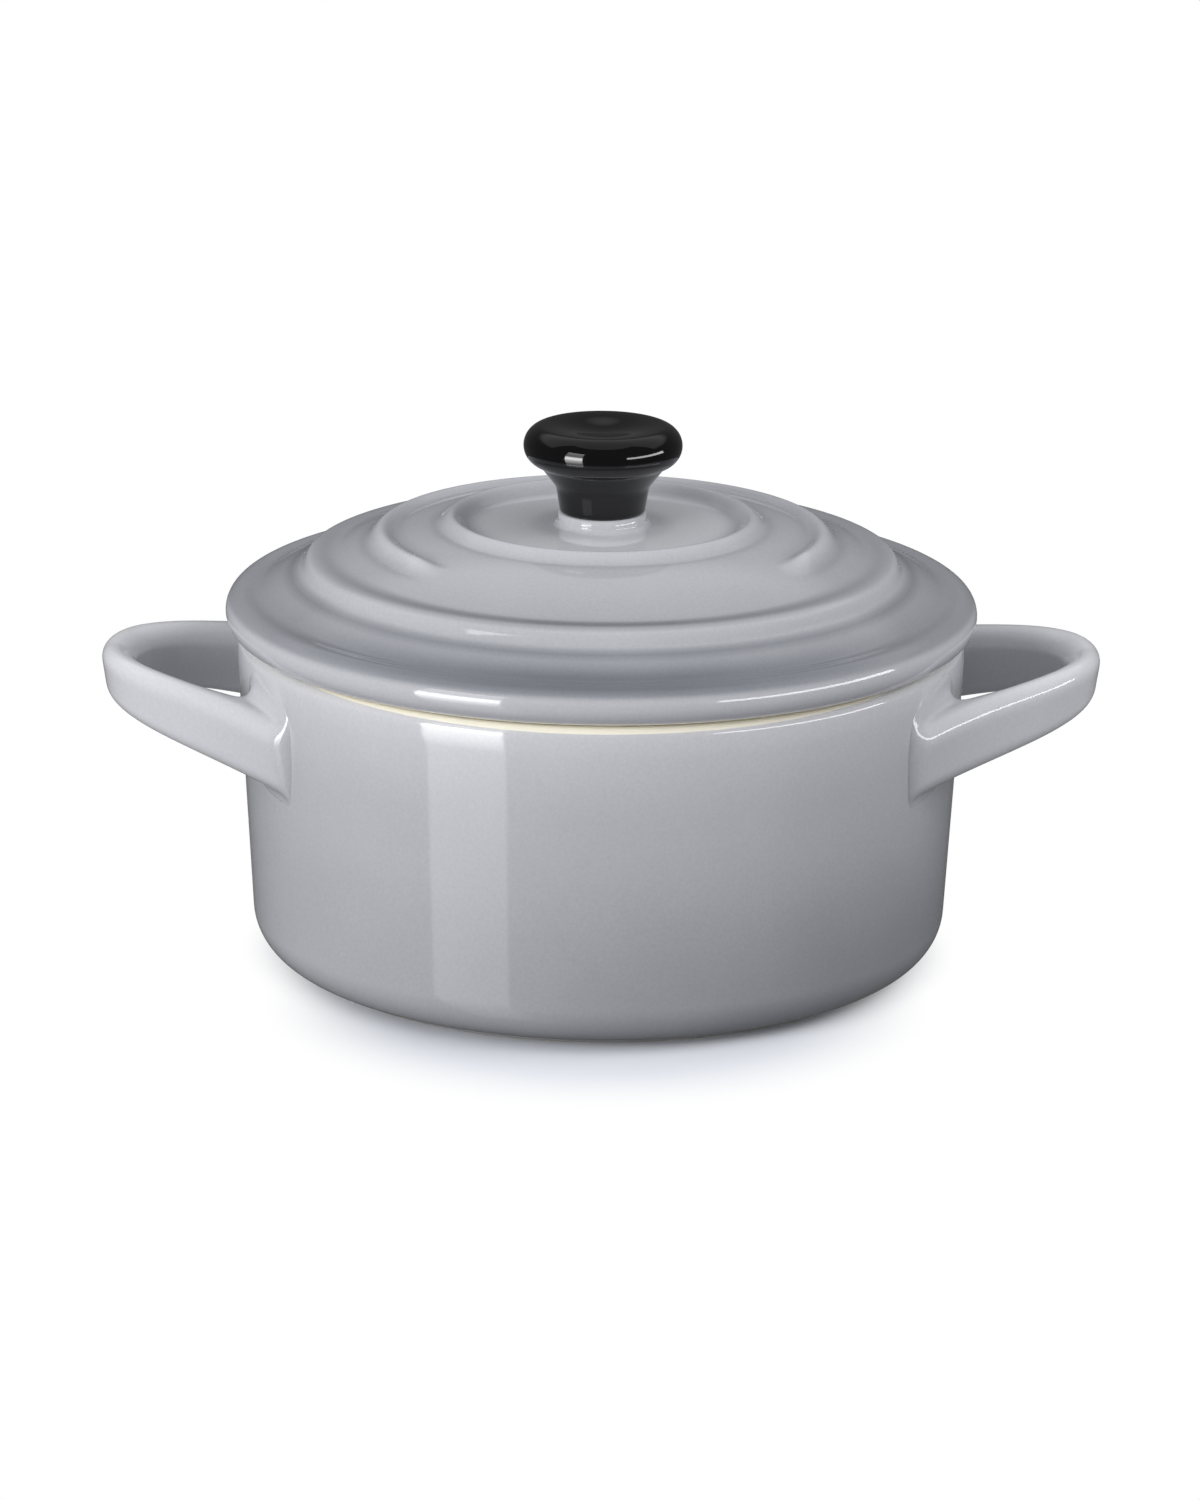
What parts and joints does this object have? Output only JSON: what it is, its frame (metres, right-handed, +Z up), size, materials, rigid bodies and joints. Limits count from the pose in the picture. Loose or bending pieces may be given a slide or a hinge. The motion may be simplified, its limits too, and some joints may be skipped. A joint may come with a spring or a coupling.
{
  "type": "mini casserole dish with lid",
  "caption": "Small round glazed stoneware casserole dish with loop handles and a ringed, lift-off lid with a black knob, for baking and serving a single portion.",
  "frame": {"origin": "on the floor, under the middle of the dish", "axes": "+Z up along the dish's axis, +X out through the right handle, -Y towards the viewer and the bare panel of the lid"},
  "size_m": [0.1374, 0.1028, 0.0743],
  "materials": {
    "pot_glaze": "pale grey glossy glaze over stoneware, cream inside and on the rim",
    "handle_glaze": "pale grey glossy glaze over stoneware",
    "lid_glaze": "pale grey glossy glaze over stoneware",
    "knob_glaze": "black glossy glaze"
  },
  "bodies": {
    "pot": {"pot": "pot_glaze", "handle_left": "handle_glaze", "handle_right": "handle_glaze"},
    "lid": {"lid": "lid_glaze", "knob": "knob_glaze"}
  },
  "joints": [
    {"name": "lid_lift", "type": "slide", "parent": "pot", "child": "lid", "axis": [0, 0, 1], "range_m": [0, 0.12]}
  ]
}
